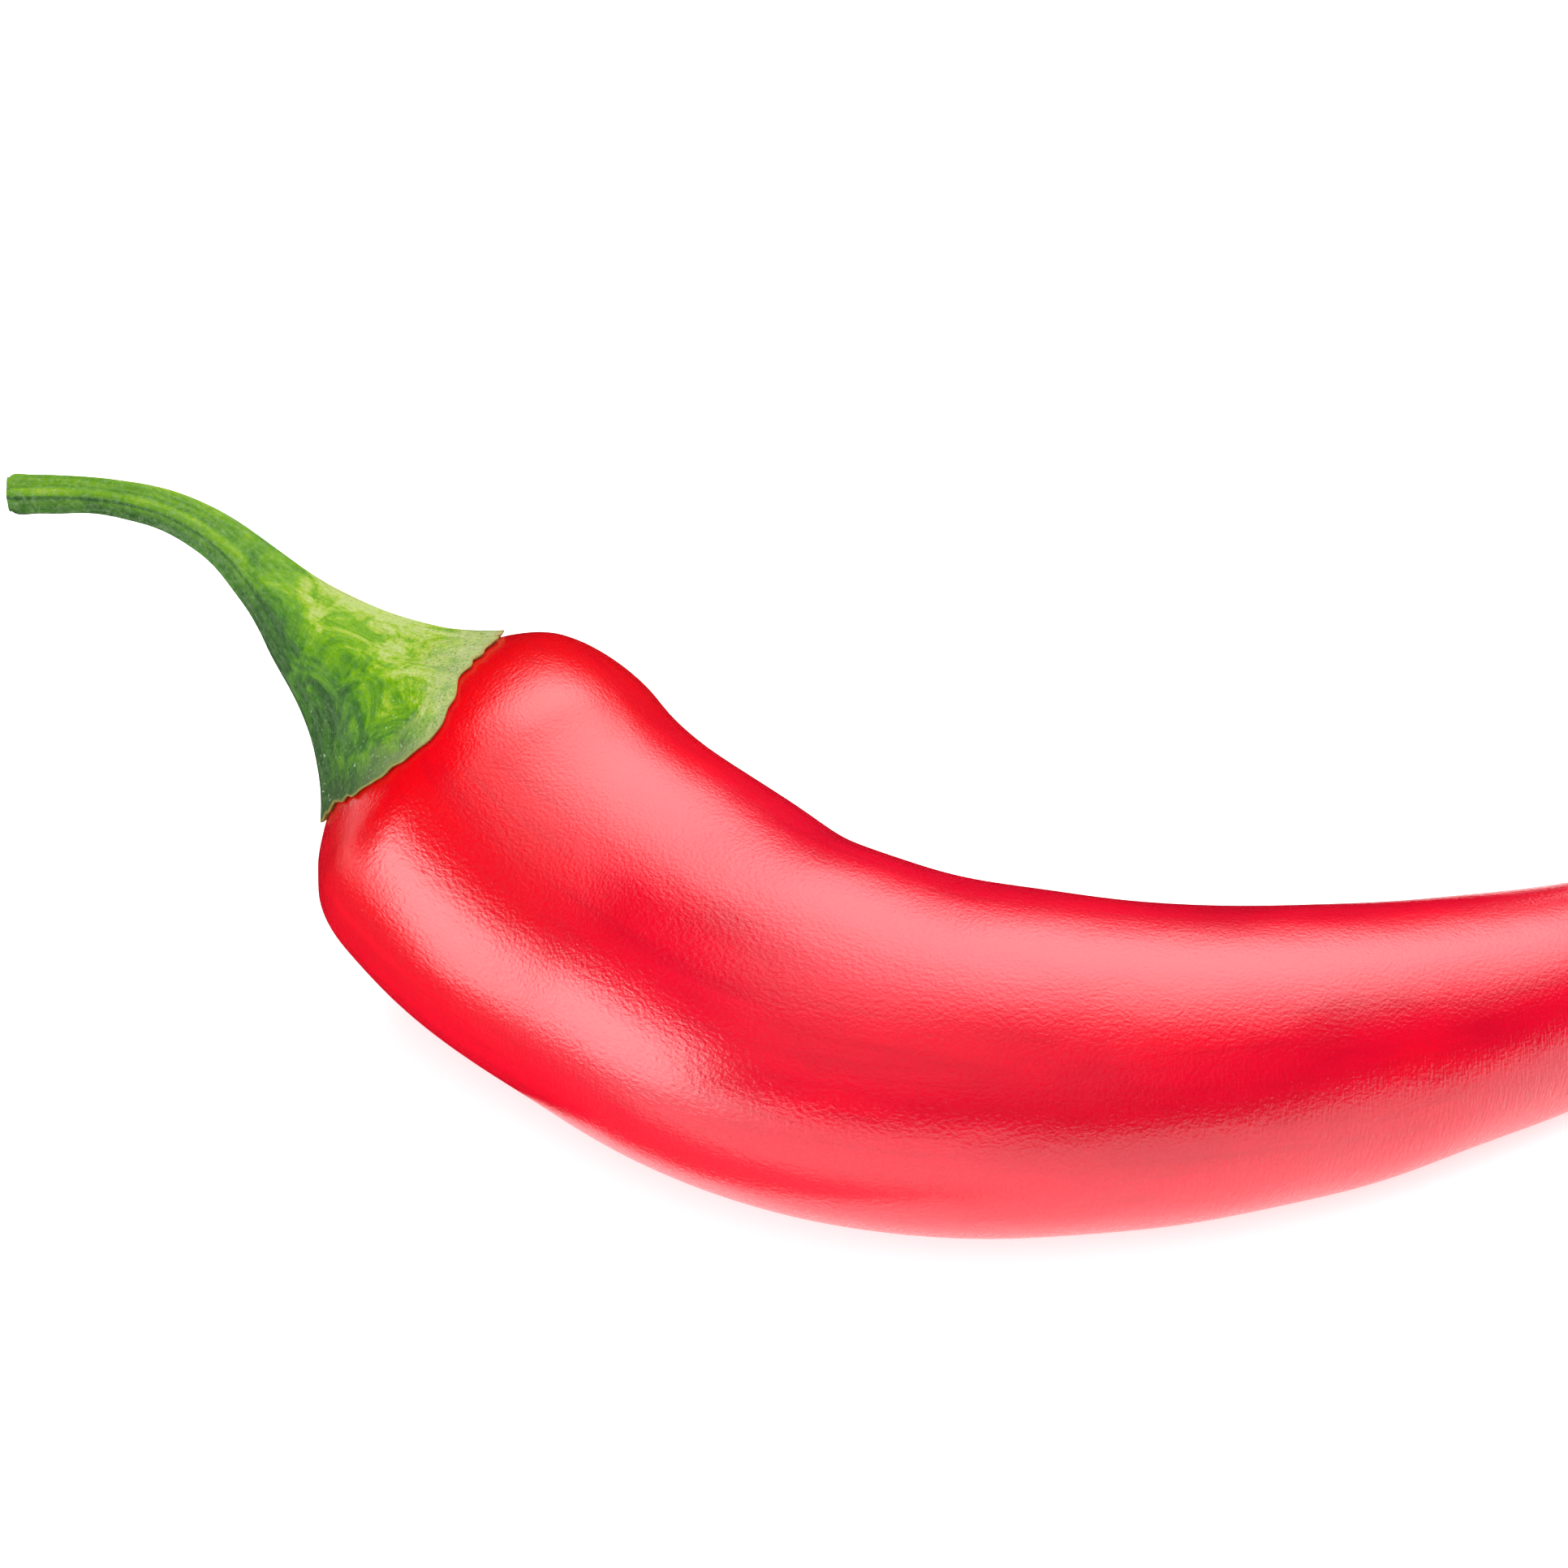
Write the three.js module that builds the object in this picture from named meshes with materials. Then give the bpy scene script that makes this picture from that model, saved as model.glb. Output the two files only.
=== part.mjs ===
// A whole fresh chilli pepper lying on its side: a long red pod and, on its crown, the green
// calyx that runs out into the stalk.
//
// Millimetres, +Z up. The origin is on the surface that the chilli lies on, at the middle of
// its length and width. +X runs from the stalk towards the tip.
//
// Both pieces are turned on a lathe and then bent along one middle line. A place on them is
// given by its distance along that line, from 0 at the pod's crown to the tip, and below 0 on
// the stalk, and by its angle round the line, from 0 on top towards the bulging side.
import * as THREE from "three";

// The middle line seen from above, from the cut end of the stalk to the tip of the pod.
const MIDDLE_LINE = [
  [-62.1, 22.0], [-57.9, 21.9], [-54.2, 21.5], [-50.1, 20.1], [-46.4, 17.4], [-43.2, 14.3],
  [-38.6, 11.1], [-33.15, 6.95], [-28.4, 1.7], [-22.1, -3.2], [-14.0, -9.0], [-6.4, -11.6],
  [1.5, -12.3], [9.5, -11.8], [25.0, -7.7], [39.5, -1.1], [52.9, 7.7], [61.8, 14.7],
];
const STALK_LENGTH = 27.2;

// Radius of the pod at distances from its crown, before its two ends are rounded off.
const POD_GIRTH = [
  [0, 12.7], [8, 12.6], [16, 12.35], [24, 12.05], [32, 11.75], [40, 11.3], [48, 10.7],
  [56, 10.0], [64, 9.25], [72, 8.3], [80, 7.4], [88, 6.45], [96, 5.5], [104, 4.4],
  [108, 3.5], [112, 2.3], [115.5, 1.4],
];
const SHOULDER_DEPTH = 10.6;
const TIP_DEPTH = 1.5;

// Shallow lobes along the pod, deepest behind the shoulder.
const LOBES = 3;
const LOBE_DEPTH = 0.016;
const LOBE_TURN = 2.5;
const LOBES_FROM = 6;
const LOBES_DEEPEST = 18;
const LOBES_TO = 60;

// Height of the middle line: the pod lies along its underside, its neck lifts off the surface,
// and the stalk goes on rising before it levels out.
const LYING_FLAT = 0.25;
const NECK_LIFT = 7.2;
const NECK_LENGTH = 25;
const STALK_SAG = 0.0121;

// Radius of the stalk and of the calyx that it widens into.
const STALK_GIRTH = [
  [-27.2, 1.15], [-23, 1.15], [-20, 1.15], [-17.5, 1.22], [-15, 1.35], [-12, 1.6], [-9, 2.0],
  [-6, 2.8], [-3, 4.05], [0, 5.95], [2, 7.6], [4, 9.3],
];
const CUT_ROUNDING = 0.35;
const STALK_RIBS = 5;
const RIB_HEIGHT = 0.06;

// The calyx sits on the crown in a shallow seat and covers it down to a rim with blunt teeth.
const SEAT_DEPTH = 0.55;
const SEAT_FROM = 2.2;
const SEAT_TO = 5.0;
const CALYX_GAP = 0.42;
const RIM_THICKNESS = 0.6;
const EDGE_SETBACK = 0.35;
const RIM_AT = 2.3;
const FRONT_LOBE = 3.2;
const LOBE_SHARPNESS = 8;
const TOOTH_LENGTH = 0.7;
const DRAPE_FROM = -6;
const FRONT_ANGLE = 0.47;

const POD_SEGMENTS = 36;
const SHOULDER_RINGS = 12;
const BODY_RINGS = 46;
const TIP_RINGS = 4;
const STEM_SEGMENTS = 30;
const CALYX_RINGS = 8;
const STALK_RINGS = 22;

const SKIN = new THREE.MeshStandardMaterial({ color: 0xd40b20, roughness: 0.3, metalness: 0 });
const GREEN = new THREE.MeshStandardMaterial({ color: 0x6fa63c, roughness: 0.5, metalness: 0 });

function curveThrough(pairs) {
  const places = pairs.map(([place]) => place);
  const values = pairs.map(([, value]) => value);
  const curve = new THREE.CubicInterpolant(places, values, 1);
  return (place) => curve.evaluate(place)[0];
}

const groundLine = new THREE.CatmullRomCurve3(
  MIDDLE_LINE.map(([x, y]) => new THREE.Vector3(x, y, 0)),
);
groundLine.arcLengthDivisions = 400;
const LINE_LENGTH = groundLine.getLength();
const POD_LENGTH = LINE_LENGTH - STALK_LENGTH;

const podGirth = curveThrough(POD_GIRTH);
const stalkGirth = curveThrough(STALK_GIRTH);

// A quarter round: 0 at the very end of a piece, 1 from its full depth onwards.
function roundedEnd(depth) {
  return depth >= 1 ? 1 : Math.sqrt(Math.max(0, 1 - (1 - depth) ** 2));
}

function fullRadius(along) {
  const shoulder = roundedEnd(along / SHOULDER_DEPTH);
  const tip = roundedEnd((POD_LENGTH - along) / TIP_DEPTH);
  return podGirth(along) * shoulder * tip;
}

// The pod's radius with the calyx's seat pressed into its crown.
function podRadius(along) {
  const pressed = SEAT_DEPTH * (1 - THREE.MathUtils.smoothstep(along, SEAT_FROM, SEAT_TO));
  return fullRadius(Math.max(0, along - pressed));
}

function lobeSwell(along, angle) {
  const grows = THREE.MathUtils.smoothstep(along, LOBES_FROM, LOBES_DEEPEST);
  const fades = 1 - THREE.MathUtils.smoothstep(along, LOBES_DEEPEST, LOBES_TO);
  return 1 + LOBE_DEPTH * grows * fades * Math.cos(LOBES * angle + LOBE_TURN);
}

function middleHeight(along) {
  const crownHeight = podGirth(0) - LYING_FLAT + NECK_LIFT;
  const crownSlope = (2 * NECK_LIFT) / NECK_LENGTH;
  if (along < 0) {
    return crownHeight - crownSlope * along - STALK_SAG * along ** 2;
  }
  const lift = Math.max(0, 1 - along / NECK_LENGTH);
  return podGirth(along) - LYING_FLAT + NECK_LIFT * lift ** 2;
}

function middlePoint(along) {
  const share = THREE.MathUtils.clamp((along + STALK_LENGTH) / LINE_LENGTH, 0, 1);
  const point = groundLine.getPointAt(share);
  point.z = middleHeight(along);
  return point;
}

// The middle point at a distance, with the directions across and up that a section lies in.
function sectionAt(along) {
  const step = 0.2;
  const before = Math.max(along - step, -STALK_LENGTH);
  const after = Math.min(along + step, POD_LENGTH);
  const forward = middlePoint(after).sub(middlePoint(before)).normalize();
  const across = forward.clone().cross(new THREE.Vector3(0, 0, 1)).normalize();
  const up = across.clone().cross(forward);
  return { centre: middlePoint(along), across, up };
}

// Turns an outline of [radius, distance] points, which may differ from angle to angle, and
// bends the turned piece along the middle line.
function turnAndBend(outlineAt, segments) {
  const first = outlineAt(0).map(([radius, along]) => new THREE.Vector2(radius, along));
  const geometry = new THREE.LatheGeometry(first, segments);
  const position = geometry.getAttribute("position");
  for (let segment = 0; segment <= segments; segment++) {
    const angle = (2 * Math.PI * (segment % segments)) / segments;
    outlineAt(angle).forEach(([radius, along], ring) => {
      const { centre, across, up } = sectionAt(along);
      centre.addScaledVector(across, radius * Math.sin(angle));
      centre.addScaledVector(up, radius * Math.cos(angle));
      position.setXYZ(segment * first.length + ring, centre.x, centre.y, centre.z);
    });
  }
  geometry.computeVertexNormals();
  return geometry;
}

// Evenly spaced shares from 0 to 1, both included.
function shares(count) {
  return Array.from({ length: count + 1 }, (_, index) => index / count);
}

function podOutline(angle) {
  const shoulder = shares(SHOULDER_RINGS).slice(0, -1).map(
    (share) => SEAT_DEPTH + SHOULDER_DEPTH * (1 - Math.cos((share * Math.PI) / 2)),
  );
  const bodyStart = SEAT_DEPTH + SHOULDER_DEPTH;
  const bodyEnd = POD_LENGTH - TIP_DEPTH;
  const body = shares(BODY_RINGS).map((share) => bodyStart + share * (bodyEnd - bodyStart));
  const tip = shares(TIP_RINGS).slice(1).map(
    (share) => bodyEnd + TIP_DEPTH * Math.sin((share * Math.PI) / 2),
  );
  return [...shoulder, ...body, ...tip].map((along) => [
    podRadius(along) * lobeSwell(along, angle), along,
  ]);
}

function flattenUnderside(geometry) {
  const position = geometry.getAttribute("position");
  for (let index = 0; index < position.count; index++) {
    position.setZ(index, Math.max(0, position.getZ(index)));
  }
}

// How far the calyx reaches down the pod at an angle beyond its shortest place: one long lobe
// in front, and a blunt tooth at each rib.
function rimReach(angle) {
  const fromFront = angle - FRONT_ANGLE;
  const lobe = ((1 + Math.cos(fromFront)) / 2) ** LOBE_SHARPNESS;
  const tooth = 1 - Math.abs(Math.sin((STALK_RIBS * fromFront) / 2));
  return FRONT_LOBE * lobe + TOOTH_LENGTH * tooth;
}

function ribSwell(along, angle) {
  const fades = 1 - THREE.MathUtils.smoothstep(along, DRAPE_FROM, RIM_AT);
  return 1 + RIB_HEIGHT * fades * Math.cos(STALK_RIBS * (angle - FRONT_ANGLE));
}

// The outer face goes from the cut end along the stalk and down the flare to the rim, which
// lies close to the shoulder; the underside comes back from the rim to the crown.
function stemOutline(angle) {
  const reach = rimReach(angle);
  const stalkEnd = CUT_ROUNDING - STALK_LENGTH;
  const outside = shares(STALK_RINGS).map((share) => {
    const level = stalkEnd + (RIM_AT - stalkEnd) * (1 - (1 - share) ** 1.25);
    const draped = THREE.MathUtils.smoothstep(level, DRAPE_FROM, RIM_AT);
    const along = level + draped * (reach - EDGE_SETBACK);
    const flare = stalkGirth(level) * ribSwell(level, angle);
    const onShoulder = podRadius(along + CALYX_GAP + RIM_THICKNESS);
    const hug = THREE.MathUtils.smoothstep(level, 0, RIM_AT);
    return [THREE.MathUtils.lerp(flare, onShoulder, hug), along];
  });
  const crown = SEAT_DEPTH - CALYX_GAP;
  const rim = RIM_AT + reach;
  const underside = shares(CALYX_RINGS).map((share) => {
    const along = crown + (rim - crown) * (1 - share) ** 2;
    return [share === 1 ? 0 : podRadius(along + CALYX_GAP), along];
  });
  const cutRadius = stalkGirth(-STALK_LENGTH) * ribSwell(-STALK_LENGTH, angle);
  const cutFace = [[0, -STALK_LENGTH], [cutRadius - CUT_ROUNDING, -STALK_LENGTH]];
  return [...cutFace, ...outside, ...underside];
}

function makePod() {
  const geometry = turnAndBend(podOutline, POD_SEGMENTS);
  flattenUnderside(geometry);
  const pod = new THREE.Mesh(geometry, SKIN);
  pod.name = "pod";
  return pod;
}

function makeStem() {
  const stem = new THREE.Mesh(turnAndBend(stemOutline, STEM_SEGMENTS), GREEN);
  stem.name = "calyx_and_stalk";
  return stem;
}

const chilli = new THREE.Group();
chilli.add(makePod(), makeStem());

export default chilli;
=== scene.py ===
import math

import bpy
import numpy as np
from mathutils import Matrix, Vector


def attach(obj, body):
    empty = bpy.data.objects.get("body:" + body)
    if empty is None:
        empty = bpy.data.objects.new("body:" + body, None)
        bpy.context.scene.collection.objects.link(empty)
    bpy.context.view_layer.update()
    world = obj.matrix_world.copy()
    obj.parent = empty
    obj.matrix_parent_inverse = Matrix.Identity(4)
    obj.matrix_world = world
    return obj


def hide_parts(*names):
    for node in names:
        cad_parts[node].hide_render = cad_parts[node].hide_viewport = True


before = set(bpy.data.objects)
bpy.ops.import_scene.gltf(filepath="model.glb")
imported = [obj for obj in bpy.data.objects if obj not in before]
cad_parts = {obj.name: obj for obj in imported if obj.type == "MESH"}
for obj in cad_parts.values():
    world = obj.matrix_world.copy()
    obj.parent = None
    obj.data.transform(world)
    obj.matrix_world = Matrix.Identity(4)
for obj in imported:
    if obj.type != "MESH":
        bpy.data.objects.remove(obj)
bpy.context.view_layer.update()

# ------------------------------------------------------------------------------------------
# The pod is the fruit: one long red berry, grown in one piece, with a tight waxy skin. It
# bends to one side, lies along its underside with its neck lifted, and tapers to a blunt tip.
# Its skin is smooth, with faint lobes, soft dimples and very fine wrinkles across its length.

# The middle line seen from above in millimetres, from the cut end of the stalk to the tip.
middle_line_points = [
    (-62.1, 22.0), (-57.9, 21.9), (-54.2, 21.5), (-50.1, 20.1), (-46.4, 17.4), (-43.2, 14.3),
    (-38.6, 11.1), (-33.15, 6.95), (-28.4, 1.7), (-22.1, -3.2), (-14.0, -9.0), (-6.4, -11.6),
    (1.5, -12.3), (9.5, -11.8), (25.0, -7.7), (39.5, -1.1), (52.9, 7.7), (61.8, 14.7),
]
stalk_length = 27.2

# Radius of the pod at distances from its crown, before its two ends are rounded off.
pod_girth_points = [
    (0, 12.7), (8, 12.6), (16, 12.35), (24, 12.05), (32, 11.75), (40, 11.3), (48, 10.7),
    (56, 10.0), (64, 9.25), (72, 8.3), (80, 7.4), (88, 6.45), (96, 5.5), (104, 4.4),
    (108, 3.5), (112, 2.3), (115.5, 1.4),
]
shoulder_depth = 10.6
tip_depth = 1.5

# How much its underside is flattened where it lies, and how its neck and stalk rise from there.
lying_flat = 0.25
neck_lift = 7.2
neck_length = 25.0
stalk_sag = 0.0121


def smooth_curve(places, values):
    """A natural cubic spline through the values at the places, as a function of the place."""
    places = np.asarray(places, float)
    values = np.asarray(values, float)
    count = len(places)
    gaps = np.diff(places)
    slopes = (np.diff(values, axis=0).T / gaps).T
    matrix = np.eye(count)
    target = np.zeros_like(values)
    for i in range(1, count - 1):
        matrix[i, i - 1:i + 2] = gaps[i - 1], 2 * (gaps[i - 1] + gaps[i]), gaps[i]
        target[i] = 6 * (slopes[i] - slopes[i - 1])
    bend = np.linalg.solve(matrix, target)

    def curve(place):
        place = np.clip(place, places[0], places[-1])
        i = np.clip(np.searchsorted(places, place) - 1, 0, count - 2)
        t = (place - places[i]).reshape(place.shape + (1,) * (values.ndim - 1))
        gap = gaps[i].reshape(t.shape)
        first = slopes[i] - gap * (2 * bend[i] + bend[i + 1]) / 6
        return values[i] + t * (first + t * (bend[i] / 2 + t * (bend[i + 1] - bend[i]) / (6 * gap)))

    return curve


def smooth_step(start, end, value):
    """Rises softly from 0 where the value is at the start to 1 where it is at the end."""
    t = np.clip((value - start) / (end - start), 0, 1)
    return t * t * (3 - 2 * t)


curve_points = 3000
ground_points = np.array(middle_line_points)
chords = np.linalg.norm(np.diff(ground_points, axis=0), axis=1)
chord_places = np.concatenate([[0], np.cumsum(chords)])
fine_places = np.linspace(0, chord_places[-1], curve_points)
ground_curve = smooth_curve(chord_places, ground_points)(fine_places)
ground_steps = np.linalg.norm(np.diff(ground_curve, axis=0), axis=1)
ground_distance = np.concatenate([[0], np.cumsum(ground_steps)]) - stalk_length
pod_length = ground_distance[-1]
pod_girth = smooth_curve(*zip(*pod_girth_points))


def middle_point(along):
    """Points of the middle line at distances from the crown, below 0 on the stalk."""
    crown_height = pod_girth_points[0][1] - lying_flat + neck_lift
    crown_slope = 2 * neck_lift / neck_length
    on_stalk = crown_height - crown_slope * along - stalk_sag * along ** 2
    lift = neck_lift * np.clip(1 - along / neck_length, 0, None) ** 2
    on_pod = pod_girth(np.clip(along, 0, None)) - lying_flat + lift
    height = np.where(along < 0, on_stalk, on_pod)
    x = np.interp(along, ground_distance, ground_curve[:, 0])
    y = np.interp(along, ground_distance, ground_curve[:, 1])
    return np.stack([x, y, height], axis=-1)


# How far each way along the middle line its direction is measured.
short_way = 0.3


def bend_along(along, angle, radius):
    """Places on the bent surface, in millimetres: angle 0 is on top, a quarter turn in front."""
    before = middle_point(np.maximum(along - short_way, -stalk_length))
    after = middle_point(np.minimum(along + short_way, pod_length))
    forward = after - before
    forward /= np.linalg.norm(forward, axis=-1, keepdims=True)
    across = np.cross(forward, [0.0, 0.0, 1.0])
    across /= np.linalg.norm(across, axis=-1, keepdims=True)
    up = np.cross(across, forward)
    sideways = (radius * np.sin(angle))[..., None] * across
    return middle_point(along) + sideways + (radius * np.cos(angle))[..., None] * up


def rounded_end(depth):
    """The share of its full radius that a round end has reached: depth 0 at its tip, 1 when full."""
    return np.sqrt(1 - (1 - np.clip(depth, 0, 1)) ** 2)


# The calyx sits in a shallow seat round the crown, which runs out between these two distances.
seat_depth = 0.55
seat_from = 2.2
seat_to = 5.0


def pod_radius(along):
    """The pod's radius, with its two rounded ends and the calyx's seat pressed into it."""
    pressed = seat_depth * (1 - smooth_step(seat_from, seat_to, along))
    inner = np.clip(along - pressed, 0, None)
    ends = rounded_end(inner / shoulder_depth) * rounded_end((pod_length - inner) / tip_depth)
    return pod_girth(inner) * ends


def soft_waves(along, angle, seed, wavelength, count=24):
    """Gentle random unevenness that closes round the piece: a sum of seeded waves, about -1 to 1."""
    random = np.random.default_rng(seed)
    total = np.zeros(np.broadcast(along, angle).shape)
    for _ in range(count):
        turns = random.integers(0, 5)
        pitch = random.uniform(0.6, 1.8) * wavelength
        phase = random.uniform(0, 2 * math.pi)
        total += np.sin(2 * math.pi * along / pitch + turns * angle + phase)
    return total / math.sqrt(count)


metres_per_mm = 0.001


def tube_mesh(name, places, **skin_values):
    """A closed smooth mesh from rings of places in millimetres, each end brought to one point.

    Each skin value gives, for every place, a number or a direction that the material reads.
    """
    rings, segments = places.shape[:2]
    ring, side = np.meshgrid(np.arange(rings - 1), np.arange(segments), indexing="ij")
    corner = (ring * segments + side).ravel()
    beside = (ring * segments + (side + 1) % segments).ravel()
    faces = np.stack([corner, corner + segments, beside + segments, beside], axis=-1).tolist()
    near_end = rings * segments
    last_ring = near_end - segments
    for number in range(segments):
        following = (number + 1) % segments
        faces.append((near_end, number, following))
        faces.append((near_end + 1, last_ring + following, last_ring + number))

    def with_ends(values):
        flat = values.reshape(near_end, -1)
        return np.vstack([flat, flat[:segments].mean(axis=0), flat[-segments:].mean(axis=0)])

    mesh = bpy.data.meshes.new(name)
    mesh.from_pydata((with_ends(places) * metres_per_mm).tolist(), [], faces)
    for label, values in skin_values.items():
        numbers = with_ends(values).astype(np.float32).ravel()
        if values.ndim == 3:
            mesh.attributes.new(label, "FLOAT_VECTOR", "POINT").data.foreach_set("vector", numbers)
        else:
            mesh.attributes.new(label, "FLOAT", "POINT").data.foreach_set("value", numbers)
    mesh.polygons.foreach_set("use_smooth", [True] * len(mesh.polygons))
    mesh.update()
    piece = bpy.data.objects.new(name, mesh)
    bpy.context.scene.collection.objects.link(piece)
    return piece


# Rings of the mesh: closer together over the crown, which is the first share of its length.
pod_rings = 420
pod_segments = 180
crown_share = 0.16
crown_closeness = 0.25
end_gap = 0.004
ring_share = np.linspace(0, 1, pod_rings)
even_along = seat_depth + (pod_length - seat_depth) * ring_share
crown_ease = 0.5 * (1 - np.cos(np.pi * np.clip(ring_share / crown_share, 0, 1)))
crowding = crown_closeness + (1 - crown_closeness) * crown_ease
ring_along = np.where(ring_share < crown_share, even_along * crowding, even_along)
ring_along = np.sort(np.clip(ring_along, seat_depth + end_gap, pod_length - end_gap))
side_angle = np.linspace(0, 2 * np.pi, pod_segments, endpoint=False)
pod_along, pod_angle = np.meshgrid(ring_along, side_angle, indexing="ij")

# Three faint lobes round the neck that die out along the body, and dimples all over.
lobe_count = 3
lobe_turn = 2.5
lobe_height = 0.2
dimple_height = 0.07
full_radius = 12
lobes = lobe_height * np.cos(lobe_count * pod_angle + lobe_turn)
lobes *= smooth_step(6, 18, pod_along) * (1 - smooth_step(18, 60, pod_along))
dimples = dimple_height * soft_waves(pod_along, pod_angle, seed=4, wavelength=16)
dimples *= smooth_step(4, 12, pod_along) * (1 - 0.6 * smooth_step(95, 112, pod_along))
even_radius = pod_radius(pod_along)
pod_surface = bend_along(pod_along, pod_angle, even_radius * (1 + (lobes + dimples) / full_radius))
pod_surface[..., 2] = np.maximum(pod_surface[..., 2], 0)
pod_skin = np.stack([
    pod_along, even_radius * np.sin(pod_angle), even_radius * np.cos(pod_angle),
], axis=-1)
pod = tube_mesh("pod_skin", pod_surface, on_skin=pod_skin)


def new_material(name):
    """An empty node material: returns it, a maker of nodes and a maker of links."""
    material = bpy.data.materials.new(name)
    material.use_nodes = True
    tree = material.node_tree
    tree.nodes.clear()

    def node(kind, **settings):
        made = tree.nodes.new(kind)
        for key, value in settings.items():
            if key in made.inputs:
                made.inputs[key].default_value = value
            else:
                setattr(made, key, value)
        return made

    return material, node, tree.links.new


def noise(node, link, place, per_mm, detail, rough=0.55, swirl=0.0):
    """Noise from 0 to 1, with its own count of features per millimetre in each direction."""
    scaled = node("ShaderNodeVectorMath", operation="MULTIPLY")
    scaled.inputs[1].default_value = per_mm
    link(place, scaled.inputs[0])
    made = node("ShaderNodeTexNoise", Scale=1.0, Detail=detail, Roughness=rough)
    made.inputs["Distortion"].default_value = swirl
    link(scaled.outputs[0], made.inputs["Vector"])
    return made.outputs[0]


def ramp(node, link, value, stops):
    """A colour ramp from (place, colour) stops."""
    made = node("ShaderNodeValToRGB")
    while len(made.color_ramp.elements) < len(stops):
        made.color_ramp.elements.new(0.5)
    for element, (place, colour) in zip(made.color_ramp.elements, stops):
        element.position = place
        element.color = (*colour, 1.0)
    link(value, made.inputs[0])
    return made.outputs[0]


def blend_colour(node, link, share, low, high):
    """The low colour where the share is 0 and the high one where it is 1."""
    made = node("ShaderNodeMix", data_type="RGBA")
    link(share, made.inputs[0])
    for socket, value in ((made.inputs[6], low), (made.inputs[7], high)):
        if isinstance(value, tuple):
            socket.default_value = (*value, 1.0)
        else:
            link(value, socket)
    return made.outputs[2]


def stretch_value(node, link, value, low_from, high_from, low_to, high_to):
    """The value moved from one span to another, and held at the ends of the new one."""
    made = node("ShaderNodeMapRange")
    link(value, made.inputs[0])
    for index, number in enumerate((low_from, high_from, low_to, high_to)):
        made.inputs[index + 1].default_value = number
    return made.outputs[0]


def add_up(node, link, *terms):
    """The sum of (value, weight) terms."""
    total = None
    for value, weight in terms:
        made = node("ShaderNodeMath", operation="MULTIPLY_ADD")
        link(value, made.inputs[0])
        made.inputs[1].default_value = weight
        made.inputs[2].default_value = 0.0
        if total is not None:
            link(total, made.inputs[2])
        total = made.outputs[0]
    return total


def times(node, link, first, second):
    made = node("ShaderNodeMath", operation="MULTIPLY")
    link(first, made.inputs[0])
    link(second, made.inputs[1])
    return made.outputs[0]


deep_red = (0.41, 0.0004, 0.012)
ripe_red = (0.49, 0.0006, 0.015)
bright_red = (0.55, 0.0010, 0.012)
neck_red = (0.48, 0.0003, 0.0008)
# Painted light: a brighter red for the underside, in place of light bounced up from the white floor.
underside_painted_light_red = (0.66, 0.0012, 0.016)
streak_red = (0.30, 0.0003, 0.009)
freckle_red = (0.38, 0.0003, 0.009)

# Depths in metres: combed wrinkles across the pod, a grain all over, and a broad swell.
wrinkle_depth = 0.000060
grain_depth = 0.000035
swell_depth = 0.000060


def red_skin():
    """A waxy red skin: cloudy, a little darker in streaks and freckles, and with painted light that
    makes it brighter underneath.
    """
    material, node, link = new_material("red_skin")
    place = node("ShaderNodeAttribute", attribute_name="on_skin").outputs["Vector"]
    split = node("ShaderNodeSeparateXYZ")
    link(place, split.inputs[0])
    from_crown = split.outputs[0]
    above_middle = split.outputs[2]

    cloudy = noise(node, link, place, (0.09, 0.16, 0.16), detail=4)
    base = ramp(node, link, cloudy, [(0.30, deep_red), (0.52, ripe_red), (0.72, bright_red)])
    neck = stretch_value(node, link, from_crown, 3, 30, 1, 0)
    base = blend_colour(node, link, neck, base, neck_red)
    # Painted light: the red turns brighter towards the underside.
    underside_light_share = stretch_value(node, link, above_middle, 3.0, -5.0, 0, 1)
    base = blend_colour(node, link, underside_light_share, base, underside_painted_light_red)
    streaks = noise(node, link, place, (0.05, 1.1, 1.1), detail=3)
    streak_share = stretch_value(node, link, streaks, 0.50, 0.78, 0, 0.4)
    base = blend_colour(node, link, streak_share, base, streak_red)

    wrinkles = noise(node, link, place, (6.0, 1.1, 1.1), detail=1, rough=0.5)
    grain = noise(node, link, place, (4.0, 4.6, 4.6), detail=2)
    freckle_share = stretch_value(node, link, grain, 0.38, 0.66, 0.0, 0.28)
    base = blend_colour(node, link, freckle_share, base, freckle_red)
    swell = noise(node, link, place, (0.22, 0.3, 0.3), detail=1)
    fine = node("ShaderNodeBump", Distance=wrinkle_depth)
    link(wrinkles, fine.inputs["Height"])
    low_down = stretch_value(node, link, above_middle, 7.5, 2.0, 0.12, 1.0)
    on_body = stretch_value(node, link, from_crown, 36.0, 62.0, 0.40, 1.0)
    by_calyx = stretch_value(node, link, from_crown, 5.0, 16.0, 0.25, 0.0)
    combed = times(node, link, low_down, on_body)
    link(add_up(node, link, (combed, 1.0), (by_calyx, 1.0)), fine.inputs["Strength"])
    grainy = node("ShaderNodeBump", Strength=1.0, Distance=grain_depth)
    link(grain, grainy.inputs["Height"])
    link(fine.outputs[0], grainy.inputs["Normal"])
    broad = node("ShaderNodeBump", Strength=1.0, Distance=swell_depth)
    link(swell, broad.inputs["Height"])
    link(grainy.outputs[0], broad.inputs["Normal"])

    shader = node("ShaderNodeBsdfPrincipled", IOR=1.48)
    link(base, shader.inputs["Base Color"])
    link(stretch_value(node, link, grain, 0.3, 0.7, 0.18, 0.24), shader.inputs["Roughness"])
    link(broad.outputs[0], shader.inputs["Normal"])
    output = node("ShaderNodeOutputMaterial")
    link(shader.outputs[0], output.inputs[0])
    return material


pod.data.materials.append(red_skin())
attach(pod, "root")
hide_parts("pod")

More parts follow.
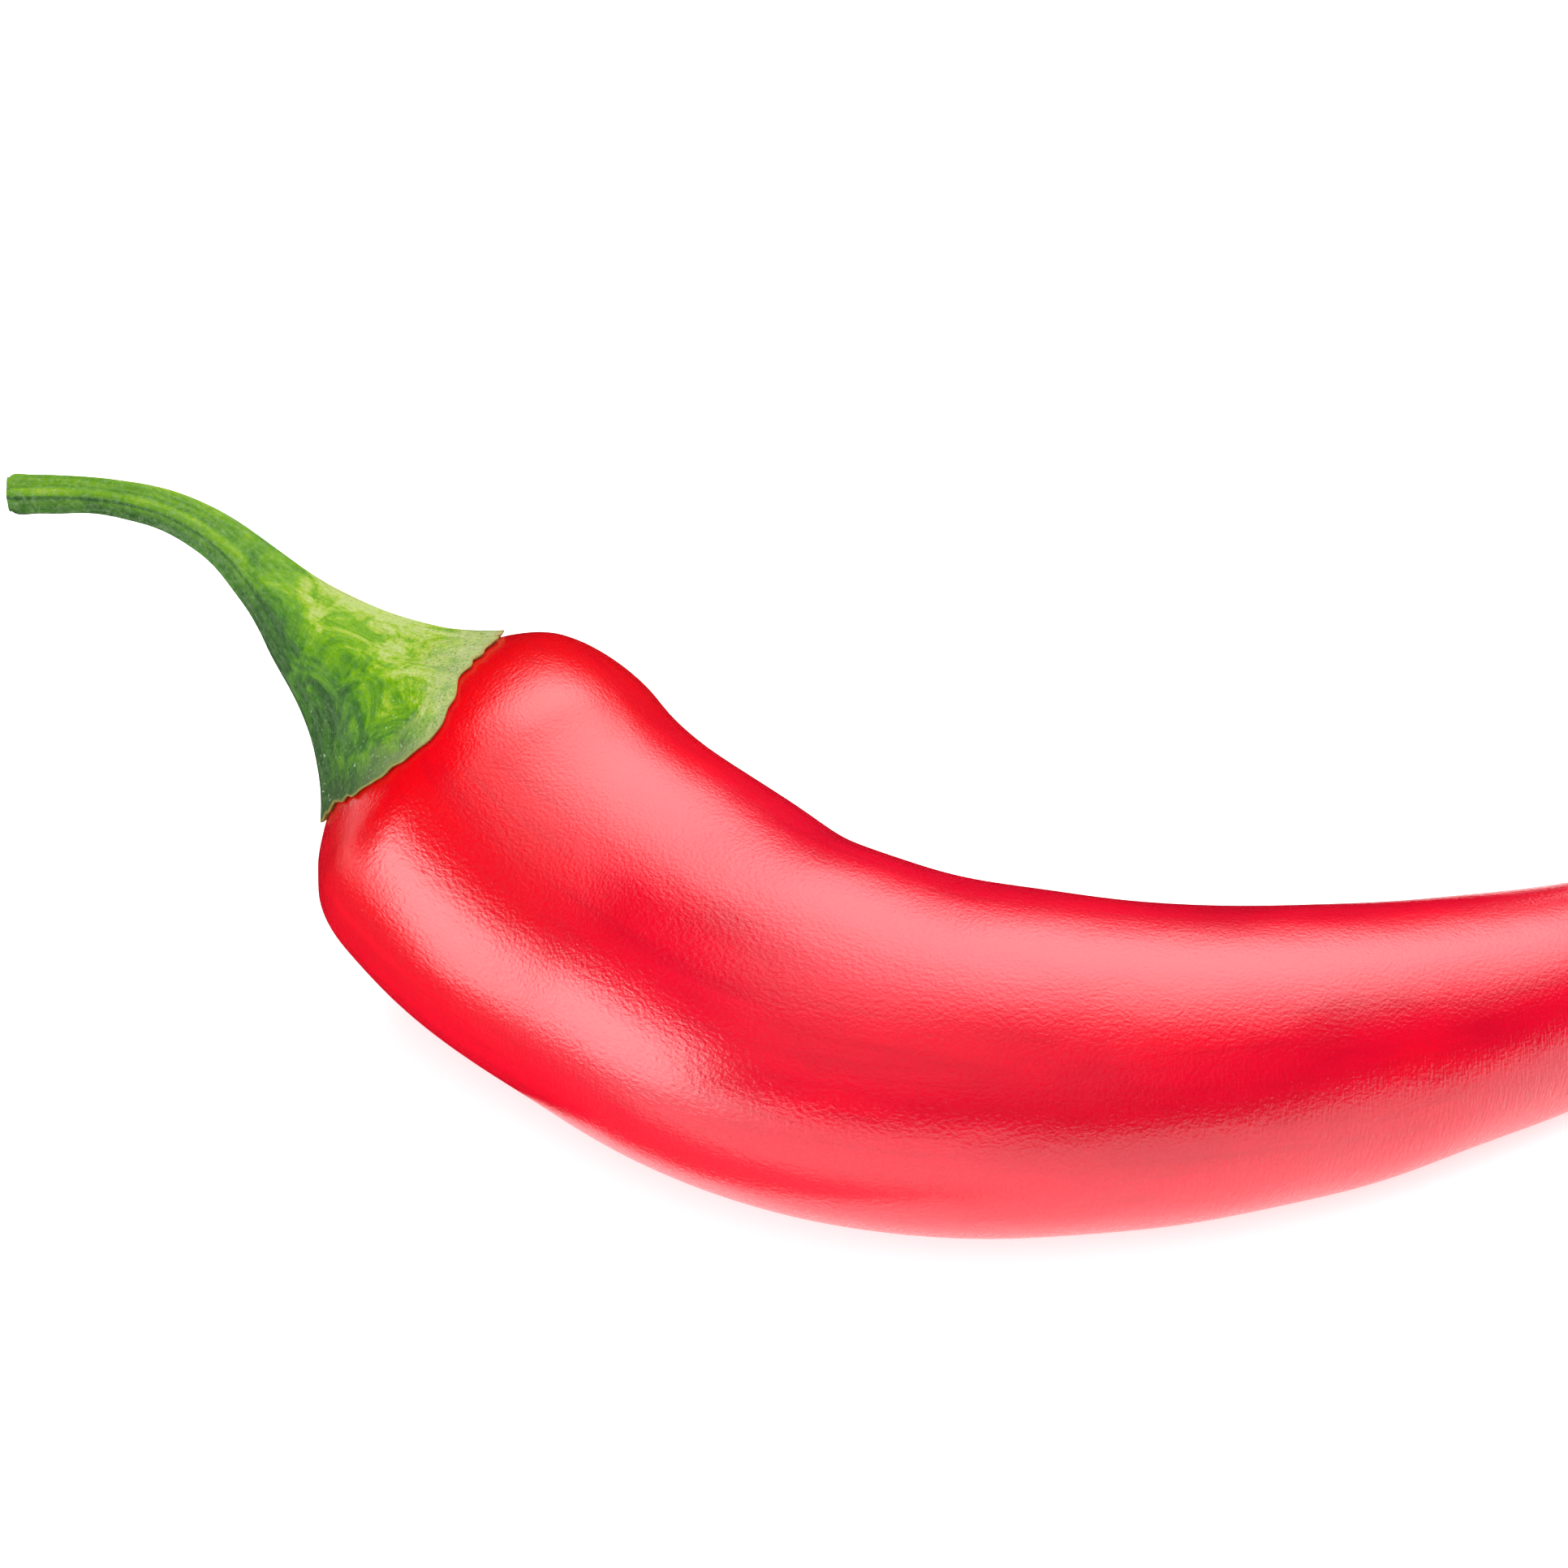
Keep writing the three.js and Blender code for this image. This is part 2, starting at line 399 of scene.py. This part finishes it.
# ------------------------------------------------------------------------------------------
# The calyx and the stalk are one green piece, grown onto the pod's crown. The calyx hugs the
# shoulder and ends in a thin toothed rim. Five soft ribs run from it up the stalk, which is
# finely wrinkled along its length, and a little swollen at the end where it was cut.

# Radius of the stalk at distances from the crown, and of the flare that it widens into.
stalk_girth_points = [
    (-27.2, 1.15), (-23, 1.15), (-20, 1.15), (-17.5, 1.22), (-15, 1.35), (-12, 1.6), (-9, 2.0),
    (-6, 2.8), (-3, 4.05), (0, 5.95), (2, 7.6), (4, 9.3),
]
stalk_girth = smooth_curve(*zip(*stalk_girth_points))

# The rim reaches furthest at its front tooth. Its five teeth go round from there, each a corner
# that runs out at these angles on its two sides, and small scallops cover them all.
rim_at = 2.1
front_angle = 0.52
front_swell = 1.25
tooth_lengths = (2.4, 0.35, 0.6, 0.6, 0.05)
tooth_half_widths = (0.39, 0.88)
tooth_top = 1.1
tooth_blunting = 0.01
tooth_power = 1.05
scallop_height = 0.09
ribs = 5


def rim_reach(angle):
    """How far each of the calyx's five teeth reaches down the pod at an angle."""
    reach = scallop_height * soft_waves(0 * angle, 14 * angle, seed=21, wavelength=10, count=16)
    reach = reach + front_swell * ((1 + np.cos(angle - front_angle)) / 2) ** 2
    for number, length in enumerate(tooth_lengths):
        from_tip = (angle - front_angle - number * 2 * np.pi / ribs + np.pi) % (2 * np.pi) - np.pi
        half_width = np.where(from_tip < 0, *tooth_half_widths)
        slope = tooth_top - np.sqrt((from_tip / half_width) ** 2 + tooth_blunting)
        reach = reach + length * np.clip(slope, 0, None) ** tooth_power
    return reach


# The calyx's thickness at its front tooth and how much further its far side stands off the pod,
# where the stalk's flare starts, how steeply it meets the rim, and the heights of its unevenness.
calyx_thickness = 0.36
calyx_lift = 0.60
flare_from = -6.0
rim_steepness = 0.68
slope_step = 0.1
rib_twist = 0.4
calyx_rib_height = 0.02
stalk_rib_height = 0.06
crease_height = 0.018
lump_height = 0.035
end_lump_height = 0.07
end_swelling = 0.10
end_length = 2.2


def calyx_outside(level, angle):
    """Distance along and radius of the outer face: level runs from the cut end to the rim.

    From flare_from the stalk flares in one smooth curve that meets the pod's shoulder at the rim.
    """
    flared = smooth_step(flare_from, rim_at, level)
    along = level + flared * rim_reach(angle)
    bare_stalk = 1 - smooth_step(-14, -3, level)
    rib_turn = front_angle + rib_twist * (1 - smooth_step(-stalk_length, -8, level))
    rib = np.cos(ribs * (angle - rib_turn))
    ribbing = (calyx_rib_height + stalk_rib_height * bare_stalk) * rib
    creases = crease_height * soft_waves(0.3 * level, 4 * angle, seed=5, wavelength=9)
    lumps = lump_height * soft_waves(level, angle, seed=8, wavelength=6) * (1 - flared)
    at_end = 1 - smooth_step(-stalk_length, -stalk_length + end_length, level)
    end_lumps = end_lump_height * at_end * soft_waves(level, 2 * angle, seed=12, wavelength=2.5)
    swelling = (ribbing + creases) * (1 - flared) + end_swelling * at_end

    rim = rim_at + rim_reach(angle)
    stands_off = (1 - np.cos(angle - front_angle)) / 2
    rim_radius = pod_radius(rim) + calyx_thickness + calyx_lift * stands_off ** 0.6
    shoulder_rise = pod_radius(rim + slope_step / 2) - pod_radius(rim - slope_step / 2)
    rim_slope = rim_steepness * shoulder_rise / slope_step
    span = rim - flare_from
    t = np.clip((along - flare_from) / span, 0, 1)
    start_radius, next_radius = stalk_girth(np.array([flare_from, flare_from + 2 * slope_step]))
    start_slope = (next_radius - start_radius) / (2 * slope_step)
    flare = (
        start_radius * (1 + 2 * t) * (1 - t) ** 2 + start_slope * span * t * (1 - t) ** 2
        + rim_radius * t ** 2 * (3 - 2 * t) + rim_slope * span * t ** 2 * (t - 1)
    )
    radius = np.where(along < flare_from, stalk_girth(along + 0 * angle), flare)
    return along, radius * (1 + swelling) + lumps + end_lumps


# The outer face, from the cut end to the rim, with its corner rounded where it was cut.
stem_segments = 240
outside_rings = 300
rim_crowding = 1.25
cut_rounding = 0.7
cut_narrowing = 0.60
stem_angle = np.linspace(0, 2 * np.pi, stem_segments, endpoint=False)[None, :]
to_rim = np.linspace(1, 0, outside_rings)[1:, None]
level = -stalk_length + (rim_at + stalk_length) * (1 - to_rim ** rim_crowding)
outside_along, outside_radius = calyx_outside(level, stem_angle)
cut_corner = rounded_end((level + stalk_length) / cut_rounding)
outside_radius *= cut_narrowing + (1 - cut_narrowing) * cut_corner

# The cut face: a shallow, uneven dish.
dish_depth = 0.22
dish_roughness = 0.05
cut_share = np.linspace(0.04, 1, 12)[:, None]
cut_radius = cut_share * outside_radius[:1]
cut_dish = dish_depth * (1 - cut_share ** 2)
cut_dish = cut_dish + dish_roughness * soft_waves(3 * cut_share, stem_angle, seed=31, wavelength=2.0)
cut_along = -stalk_length + cut_dish * smooth_step(1, 0.7, cut_share)

# The rim's rounded edge, and the underside, which is sunk a little into the pod's skin.
rim_edge = 0.22
sunk = 0.05
crown_gap = 0.01
rim_along = outside_along[-1:]
edge_turn = np.linspace(0, math.pi, 6)[1:-1, None]
edge_along = rim_along + rim_edge * 0.5 * np.sin(edge_turn)
edge_outer = outside_radius[-1:]
edge_inner = pod_radius(rim_along) - sunk
edge_radius = edge_inner + (edge_outer - edge_inner) * (1 + np.cos(edge_turn)) / 2
under_share = np.linspace(1, 0, 24)[:, None]
under_from = seat_depth + crown_gap
under_along = under_from + (rim_along - under_from) * under_share
under_radius = pod_radius(under_along) - sunk * under_share

stem_along = np.vstack([cut_along + 0 * stem_angle, outside_along, edge_along, under_along])
stem_radius = np.vstack([cut_radius, outside_radius, edge_radius, under_radius])
stem_angles = stem_angle + 0 * stem_along
stem_skin = np.stack([
    stem_along, stem_radius * np.sin(stem_angles), stem_radius * np.cos(stem_angles),
], axis=-1)

# Places for the colours: fibres keep one count all along, painted shade darkens the side that is
# low and in front, and on the stalk a dark stripe runs along the top and a dark line along the front.
fibre_radius = 4
fibre_places = np.stack([
    stem_along, fibre_radius * np.sin(stem_angles), fibre_radius * np.cos(stem_angles),
], axis=-1)
# Painted shade: the green gets darker away from the lit side, towards the low front.
least_shaded_angle = -0.87
dusky_side = ((1 - np.cos(stem_angles - least_shaded_angle)) / 2) ** 1.3
on_stalk = 1 - smooth_step(-13, -4, stem_along)
wrapped = (stem_angles + np.pi) % (2 * np.pi) - np.pi
stripe_depth = 0.24
line_angle = 1.03
line_width = 0.10
between_stripes = -0.06
dark_top = smooth_step(-2.0, -1.6, wrapped) * (1 - smooth_step(0.32, 0.58, wrapped))
dark_line = np.exp(-((wrapped - line_angle) / line_width) ** 2)
stripes = stripe_depth * (dark_top + dark_line) + between_stripes
stripes *= 1 - smooth_step(-12, -5, stem_along)
stem = tube_mesh(
    "green_calyx_and_stalk", bend_along(stem_along, stem_angles, stem_radius),
    on_skin=stem_skin, along_fibres=fibre_places, from_rim=rim_along - stem_along,
    dusky_side=dusky_side, stripes=stripes, on_stalk=on_stalk,
)

green_shades = [
    (0.20, (0.27, 0.335, 0.090)),
    (0.34, (0.20, 0.290, 0.018)),
    (0.43, (0.110, 0.235, 0.0005)),
    (0.56, (0.070, 0.185, 0.003)),
    (0.74, (0.030, 0.108, 0.007)),
    (0.92, (0.014, 0.052, 0.009)),
]
painted_sheen_green = (0.048, 0.108, 0.032)
pale_rim = (0.28, 0.31, 0.14)
painted_shade_rim = (0.022, 0.056, 0.014)
speckle_green = (0.026, 0.066, 0.013)
bloom_green = (0.25, 0.35, 0.18)
painted_glint_green = (0.34, 0.46, 0.28)
dry_edge = (0.26, 0.20, 0.05)

# Depths in metres: wrinkles along the fibres, and small nodules all over.
fibre_depth = 0.00010
nodule_depth = 0.00009


def green_tissue():
    """Marbled green, darkened by painted shade on its low side and rim, with a pale rim elsewhere,
    dark speckles, a faint bloom, a painted grey sheen and painted glints.
    """
    material, node, link = new_material("green_stalk")
    place = node("ShaderNodeAttribute", attribute_name="on_skin").outputs["Vector"]
    fibres = node("ShaderNodeAttribute", attribute_name="along_fibres").outputs["Vector"]
    from_rim = node("ShaderNodeAttribute", attribute_name="from_rim").outputs["Fac"]
    dusky = node("ShaderNodeAttribute", attribute_name="dusky_side").outputs["Fac"]
    stripe = node("ShaderNodeAttribute", attribute_name="stripes").outputs["Fac"]
    on_stalk = node("ShaderNodeAttribute", attribute_name="on_stalk").outputs["Fac"]

    marbling = noise(node, link, place, (0.28, 0.33, 0.33), detail=7, rough=0.70, swirl=0.9)
    marbled = times(node, link, stretch_value(node, link, marbling, 0.2, 0.8, -0.46, 0.46),
                    stretch_value(node, link, on_stalk, 0, 1, 1.0, 0.35))
    streaks = noise(node, link, fibres, (0.10, 0.80, 0.80), detail=5, rough=0.62, swirl=0.25)
    green_depth = add_up(node, link, (marbled, 1.0), (streaks, 0.45), (dusky, 0.56),
                         (stripe, 1.0), (on_stalk, -0.02))
    shade = stretch_value(node, link, green_depth, 0.02, 0.80, 0, 1)
    base = ramp(node, link, shade, green_shades)
    # Painted sheen: grey-green streaks on the low side stand in for the low light's gloss on the
    # fibres.
    sheen_streaks = noise(node, link, fibres, (0.4, 1.8, 1.8), detail=5, rough=0.68, swirl=0.4)
    painted_sheen_share = times(node, link, stretch_value(node, link, sheen_streaks, 0.48, 0.60, 0, 0.7),
                       stretch_value(node, link, dusky, 0.35, 0.8, 0, 1))
    base = blend_colour(node, link, painted_sheen_share, base, painted_sheen_green)

    ragged = noise(node, link, place, (0.6, 0.6, 0.6), detail=3, rough=0.6)
    ragged_rim = add_up(node, link, (from_rim, 1.0), (ragged, 5.0))
    rim_zone = stretch_value(node, link, ragged_rim, 2.6, 5.2, 0.85, 0)
    # Painted shade: the pale rim turns dark green on the low side.
    painted_shade_on_rim = stretch_value(node, link, dusky, 0.15, 0.62, 0, 1)
    rim_colour = blend_colour(node, link, painted_shade_on_rim, pale_rim, painted_shade_rim)
    base = blend_colour(node, link, rim_zone, base, rim_colour)
    speckle = noise(node, link, place, (5.5, 5.5, 5.5), detail=2, rough=0.6)
    speckle_share = times(node, link, stretch_value(node, link, speckle, 0.54, 0.66, 0, 0.6),
                          stretch_value(node, link, from_rim, 0.3, 6.0, 1.0, 0.3))
    base = blend_colour(node, link, speckle_share, base, speckle_green)
    bloom = noise(node, link, place, (3.0, 3.0, 3.0), detail=5, rough=0.75)
    bloom_share = times(node, link, stretch_value(node, link, bloom, 0.45, 0.70, 0, 0.34),
                        stretch_value(node, link, on_stalk, 0, 1, 0.4, 1.0))
    base = blend_colour(node, link, bloom_share, base, bloom_green)
    # Painted glints: small pale spots near the rim stand in for sparkles of light on the nodules.
    glint_spots = noise(node, link, place, (4.5, 4.5, 4.5), detail=1, rough=0.5)
    painted_glint_share = times(node, link, stretch_value(node, link, glint_spots, 0.68, 0.76, 0, 0.7),
                          stretch_value(node, link, from_rim, 1.5, 7.0, 1.0, 0))
    base = blend_colour(node, link, painted_glint_share, base, painted_glint_green)
    rim_line = stretch_value(node, link, from_rim, 0.05, 0.16, 0.6, 0)
    base = blend_colour(node, link, rim_line, base, dry_edge)

    wrinkles = noise(node, link, fibres, (0.9, 5.0, 5.0), detail=3, rough=0.6)
    nodules = noise(node, link, place, (3.6, 3.6, 3.6), detail=2, rough=0.5)
    fine = node("ShaderNodeBump", Strength=1.0, Distance=fibre_depth)
    link(wrinkles, fine.inputs["Height"])
    pitted = node("ShaderNodeBump", Strength=1.0, Distance=nodule_depth)
    link(nodules, pitted.inputs["Height"])
    link(fine.outputs[0], pitted.inputs["Normal"])
    shader = node("ShaderNodeBsdfPrincipled", IOR=1.45)
    shader.inputs["Specular IOR Level"].default_value = 0.12
    link(base, shader.inputs["Base Color"])
    link(stretch_value(node, link, nodules, 0.3, 0.7, 0.34, 0.56), shader.inputs["Roughness"])
    link(pitted.outputs[0], shader.inputs["Normal"])
    output = node("ShaderNodeOutputMaterial")
    link(shader.outputs[0], output.inputs[0])
    return material


stem.data.materials.append(green_tissue())
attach(stem, "root")
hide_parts("calyx_and_stalk")

# ------------------------------------------------------------------------------------------
# The floor is a plain white board that glows a little, like a light table, so that it stays
# white under the chilli. It is wide enough that its edge is never in view.

board_half = 2.0
board_white = (0.82, 0.82, 0.82, 1.0)
board_glow = 0.5
board_corners = [
    (-board_half, -board_half, 0), (board_half, -board_half, 0),
    (board_half, board_half, 0), (-board_half, board_half, 0),
]
floor_mesh = bpy.data.meshes.new("white_board")
floor_mesh.from_pydata(board_corners, [], [(0, 1, 2, 3)])
floor = bpy.data.objects.new("white_board", floor_mesh)
bpy.context.scene.collection.objects.link(floor)
material, node, link = new_material("white_board")
shader = node("ShaderNodeBsdfPrincipled", Roughness=0.7)
shader.inputs["Base Color"].default_value = board_white
shader.inputs["Emission Color"].default_value = (1.0, 1.0, 1.0, 1.0)
shader.inputs["Emission Strength"].default_value = board_glow
material.cycles.emission_sampling = "NONE"
output = node("ShaderNodeOutputMaterial")
link(shader.outputs[0], output.inputs[0])
floor_mesh.materials.append(material)

# ------------------------------------------------------------------------------------------
# Four soft lights in a nearly dark room: a wide one high up behind, a low one at the left front
# and a faint one overhead, which fade towards their edges like lamps behind a cloth, and a fill
# from the front that lights the red without a shine of its own.

middle = Vector((0.0, 0.0, 0.012))


def feather_light(light, fades):
    """Fades a light at four sides: from the left, from the right, from the bottom, from the top."""
    light.use_nodes = True
    tree = light.node_tree
    place = tree.nodes.new("ShaderNodeNewGeometry").outputs["Parametric"]
    split = tree.nodes.new("ShaderNodeSeparateXYZ")
    tree.links.new(place, split.inputs[0])
    strength = tree.nodes["Emission"].inputs["Strength"]
    for axis, (dark_at, full_at) in zip((0, 0, 1, 1), fades):
        fade = tree.nodes.new("ShaderNodeMapRange")
        fade.interpolation_type = "SMOOTHSTEP"
        tree.links.new(split.outputs[axis], fade.inputs[0])
        for index, number in enumerate((dark_at, full_at, 0.0, 1.0)):
            fade.inputs[index + 1].default_value = number
        product = tree.nodes.new("ShaderNodeMath")
        product.operation = "MULTIPLY"
        product.inputs[1].default_value = 1.0
        tree.links.new(fade.outputs[0], product.inputs[0])
        tree.links.new(product.outputs[0], strength)
        strength = product.inputs[1]


def soft_light(name, turn, rise, distance, width, height, radiance, fades=None, shines=True):
    """A rectangular light aimed at the chilli: turn 0 is straight behind it, 90 at its right.

    Each of its fades gives the share of the way across it where it is dark and where it is full.
    """
    light = bpy.data.lights.new(name, "AREA")
    light.shape = "RECTANGLE"
    light.size = width
    light.size_y = height
    light.energy = radiance * math.pi * width * height
    lamp = bpy.data.objects.new(name, light)
    across = math.cos(math.radians(rise)) * distance
    lamp.location = middle + Vector((
        across * math.sin(math.radians(turn)),
        across * math.cos(math.radians(turn)),
        math.sin(math.radians(rise)) * distance,
    ))
    lamp.rotation_euler = (middle - lamp.location).to_track_quat("-Z", "Y").to_euler()
    lamp.visible_glossy = shines
    bpy.context.scene.collection.objects.link(lamp)
    if fades:
        feather_light(light, fades)


high_fades = ((0.20, 0.56), (0.98, 0.62), (0.04, 0.42), (0.96, 0.56))
low_fades = ((0.1, 0.4), (1.0, 0.75), (-0.1, 0.0), (0.98, 0.65))
top_fades = ((0.0, 0.45), (1.0, 0.55), (0.0, 0.45), (1.0, 0.55))
soft_light("high_back_light", turn=52, rise=56, distance=0.9, width=2.4, height=2.0,
           radiance=6.6, fades=high_fades)
soft_light("low_left_light", turn=-116, rise=6, distance=0.6, width=0.68, height=0.54,
           radiance=8.5, fades=low_fades)
soft_light("faint_top_light", turn=-144, rise=78, distance=0.9, width=0.50, height=0.62,
           radiance=2.0, fades=top_fades)
soft_light("front_fill", turn=180, rise=50, distance=0.9, width=0.9, height=0.9,
           radiance=3.2, shines=False)

dim_grey = (0.03, 0.03, 0.03, 1.0)
world = bpy.data.worlds.new("dim_room")
world.use_nodes = True
world.node_tree.nodes["Background"].inputs[0].default_value = dim_grey
bpy.context.scene.world = world
bpy.context.scene.view_settings.view_transform = "Standard"

# ------------------------------------------------------------------------------------------
# Cards that only a shine can see, as a studio puts them round something glossy. Dark ones behind
# the chilli and at its left keep the white floor off its edges, and a pale strip on the floor
# carries on the low light's shine.

dark = (0.05, 0.002, 0.004)
# Painted shade and red bounce: the shaded, red-tinged floor right beside the chilli, seen only in the
# shine.
painted_shade_and_bounce = (0.8, 0.5, 0.5)
like_floor = (1.2, 1.2, 1.2)
pale = (7.0, 7.0, 7.0)


def shine_card(name, columns, places, glow):
    """A card from rows of places in millimetres, with the light each place gives off."""
    rows = len(places) // columns
    firsts = [row * columns + column for row in range(rows - 1) for column in range(columns - 1)]
    faces = [(first, first + 1, first + columns + 1, first + columns) for first in firsts]
    mesh = bpy.data.meshes.new(name)
    corners_in_metres = [[value * metres_per_mm for value in place] for place in places]
    mesh.from_pydata(corners_in_metres, [], faces)
    numbers = [value for colour in glow for value in colour]
    mesh.attributes.new("glow", "FLOAT_VECTOR", "POINT").data.foreach_set("vector", numbers)
    card = bpy.data.objects.new(name, mesh)
    card.visible_camera = False
    card.visible_diffuse = False
    card.visible_shadow = False
    bpy.context.scene.collection.objects.link(card)
    material, node, link = new_material(name)
    material.cycles.emission_sampling = "NONE"
    shader = node("ShaderNodeEmission")
    link(node("ShaderNodeAttribute", attribute_name="glow").outputs["Vector"], shader.inputs["Color"])
    output = node("ShaderNodeOutputMaterial")
    link(shader.outputs[0], output.inputs[0])
    mesh.materials.append(material)


# The back card follows the chilli's middle line, leans away from it and is tallest by its neck.
back_card_foot = 22
back_card_head = 45
back_card_height = 25
taller_by_neck = 12
back_card_places = []
for along in np.linspace(-27, pod_length, 38):
    x, y, _ = middle_point(along)
    ahead_x, ahead_y, _ = middle_point(along + 0.5) - middle_point(along - 0.5)
    length = math.hypot(ahead_x, ahead_y)
    away_x = -ahead_y / length
    away_y = ahead_x / length
    top = back_card_height + taller_by_neck * (1 - smooth_step(10, 40, along))
    for distance, height in ((back_card_foot, 0.2), (back_card_head, top)):
        back_card_places.append((x + away_x * distance, y + away_y * distance, height))
shine_card("back_card", 2, back_card_places, [dark] * len(back_card_places))
shine_card("left_back_card", 2, [
    (-160, -30, 0), (-160, -30, 80),
    (-110, 130, 0), (-110, 130, 80),
], [dark] * 4)
# Painted shadow: the left card stands in for the floor in the neck's shadow, seen only in the shine.
shine_card("left_card", 2, [
    (-95, 50, 0.2), (-40, 30, 0.2),
    (-95, -15, 0.2), (-28, -14, 0.2),
    (-60, -24, 0.2), (2, -34, 0.2),
], [dark, dark, dark, dark, painted_shade_and_bounce, painted_shade_and_bounce])
shine_card("pale_strip", 4, [
    (-104, -15, 0.3), (-86, -20, 0.3), (-58, -20, 0.3), (-42, -26, 0.3),
    (-165, -38, 0.3), (-132, -46, 0.3), (-70, -36, 0.3), (-44, -46, 0.3),
    (-640, -170, 0.3), (-580, -230, 0.3), (-230, -300, 0.3), (-60, -420, 0.3),
], [dark, dark, dark, like_floor, dark, pale, pale, like_floor, dark, pale, pale, like_floor])

# ------------------------------------------------------------------------------------------
# The camera looks down at half a right angle from the front, close in on the stalk and neck,
# so that the tip runs out of the right edge.

camera_data = bpy.data.cameras.new("camera")
camera_data.lens = 135
camera_data.sensor_width = 36
camera = bpy.data.objects.new("camera", camera_data)
looked_at = Vector((-0.0129, 0.0104, 0.012))
view_rise = math.radians(45)
view_distance = 0.3754
camera.location = looked_at + view_distance * Vector((0, -math.cos(view_rise), math.sin(view_rise)))
camera.rotation_euler = (math.radians(90) - view_rise, 0, 0)
bpy.context.scene.collection.objects.link(camera)
bpy.context.scene.camera = camera
